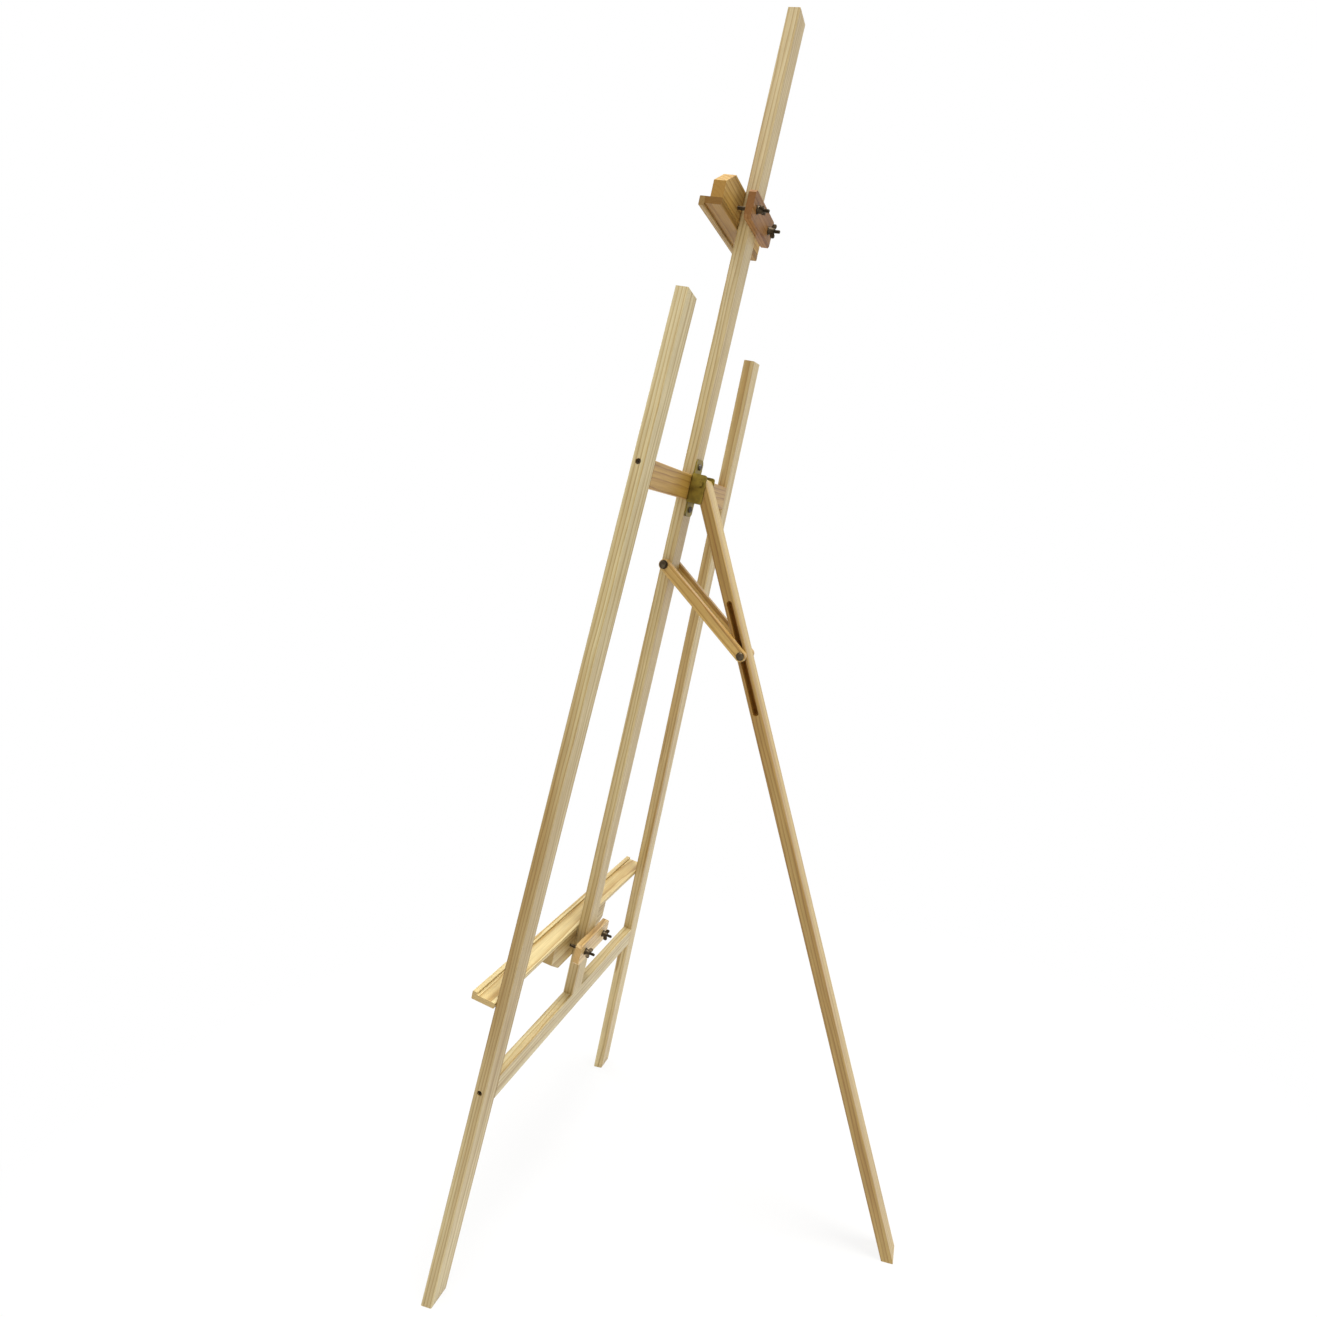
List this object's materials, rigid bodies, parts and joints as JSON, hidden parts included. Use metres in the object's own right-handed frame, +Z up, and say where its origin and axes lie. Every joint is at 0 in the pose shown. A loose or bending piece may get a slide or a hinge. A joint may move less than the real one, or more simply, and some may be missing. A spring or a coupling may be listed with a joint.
{
  "type": "artist easel",
  "caption": "Folding pine lyre easel with splayed front posts, a fixed mast, a slotted rear leg on braces, and a canvas ledge and top holder clamped with wing nuts.",
  "frame": {"origin": "middle of the footprint's bounding box, on the floor", "axes": "+Z up, +X to the easel's right side as seen from behind it on its pictured side, +Y to the rear leg; the canvas side faces -Y"},
  "size_m": [0.6524, 0.6658, 1.8614],
  "materials": {
    "pine": "planed and sealed, satin",
    "stained_wood": "brown stained, satin",
    "brass_plate": "dull plated sheet",
    "zinc_screws": "dull zinc plated",
    "black_steel": "dark bronzed, semi matt"
  },
  "bodies": {
    "frame": {"brace_pivot_bolt": "black_steel", "brace_pivot_nut": "black_steel", "brace_pivot_washers": "black_steel", "crossbar_screws": "black_steel", "hinge_bolt": "brass_plate", "hinge_bracket": "brass_plate", "hinge_bracket_screws": "zinc_screws", "hinge_nut": "brass_plate", "left_front_post": "pine", "lower_crossbar": "pine", "mast": "pine", "mast_foot_screw": "black_steel", "right_front_post": "pine", "upper_crossbar": "pine"},
    "rear_leg": {"rear_leg_upper": "pine", "rear_leg_front_rail": "pine", "rear_leg_rear_rail": "pine", "rear_leg_lower": "pine"},
    "braces": {"right_brace": "pine", "left_brace": "pine", "slot_bolt": "black_steel", "slot_washer": "black_steel"},
    "slot_wing_nut": {"slot_wing_nut": "black_steel"},
    "ledge": {"ledge_clamp_block": "pine", "ledge_clamp_bolts": "black_steel", "ledge_clamp_washers": "black_steel", "ledge_cleat": "pine", "ledge_lip": "pine", "ledge_shelf": "pine", "ledge_shelf_screws": "black_steel"},
    "ledge_left_wing_nut": {"ledge_left_wing_nut": "black_steel"},
    "ledge_right_wing_nut": {"ledge_right_wing_nut": "black_steel"},
    "top_holder": {"top_holder_clamp_block": "stained_wood", "top_holder_clamp_bolts": "black_steel", "top_holder_clamp_washers": "black_steel", "top_holder_cleat": "pine", "top_holder_lip": "pine", "top_holder_shelf": "pine", "top_holder_shelf_screws": "black_steel"},
    "top_holder_left_wing_nut": {"top_holder_left_wing_nut": "black_steel"},
    "top_holder_right_wing_nut": {"top_holder_right_wing_nut": "black_steel"}
  },
  "joints": [
    {"name": "rear_leg_fold", "type": "hinge", "parent": "frame", "child": "rear_leg", "pos_m": [0, 0.02434, 1.22789], "axis": [1, 0, 0], "range_deg": [-27.4, 6.6]},
    {"name": "brace_pivot", "type": "hinge", "parent": "frame", "child": "braces", "pos_m": [0, -0.03333, 1.10655], "axis": [1, 0, 0], "range_deg": [-45.72, 11.09]},
    {"name": "slot_wing_nut_turn", "type": "hinge", "parent": "braces", "child": "slot_wing_nut", "pos_m": [-0.0313, 0.08851, 0.96469], "axis": [1, 0, 0], "continuous": true},
    {"name": "ledge_slide", "type": "slide", "parent": "frame", "child": "ledge", "axis": [0, 0.2538, 0.9673], "range_m": [-0.09, 0.42]},
    {"name": "ledge_left_wing_nut_turn", "type": "hinge", "parent": "ledge", "child": "ledge_left_wing_nut", "pos_m": [-0.036, -0.18386, 0.44924], "axis": [0, 0.9673, -0.2538], "continuous": true},
    {"name": "ledge_right_wing_nut_turn", "type": "hinge", "parent": "ledge", "child": "ledge_right_wing_nut", "pos_m": [0.036, -0.18386, 0.44924], "axis": [0, 0.9673, -0.2538], "continuous": true},
    {"name": "top_holder_slide", "type": "slide", "parent": "frame", "child": "top_holder", "axis": [0, 0.2538, 0.9673], "range_m": [-0.315, 0.22]},
    {"name": "top_holder_left_wing_nut_turn", "type": "hinge", "parent": "top_holder", "child": "top_holder_left_wing_nut", "pos_m": [-0.036, 0.11773, 1.59883], "axis": [0, 0.9673, -0.2538], "continuous": true},
    {"name": "top_holder_right_wing_nut_turn", "type": "hinge", "parent": "top_holder", "child": "top_holder_right_wing_nut", "pos_m": [0.036, 0.11773, 1.59883], "axis": [0, 0.9673, -0.2538], "continuous": true}
  ],
  "couplings": [
    {"joint": "brace_pivot", "follows": "rear_leg_fold", "ratio": 1.665}
  ]
}
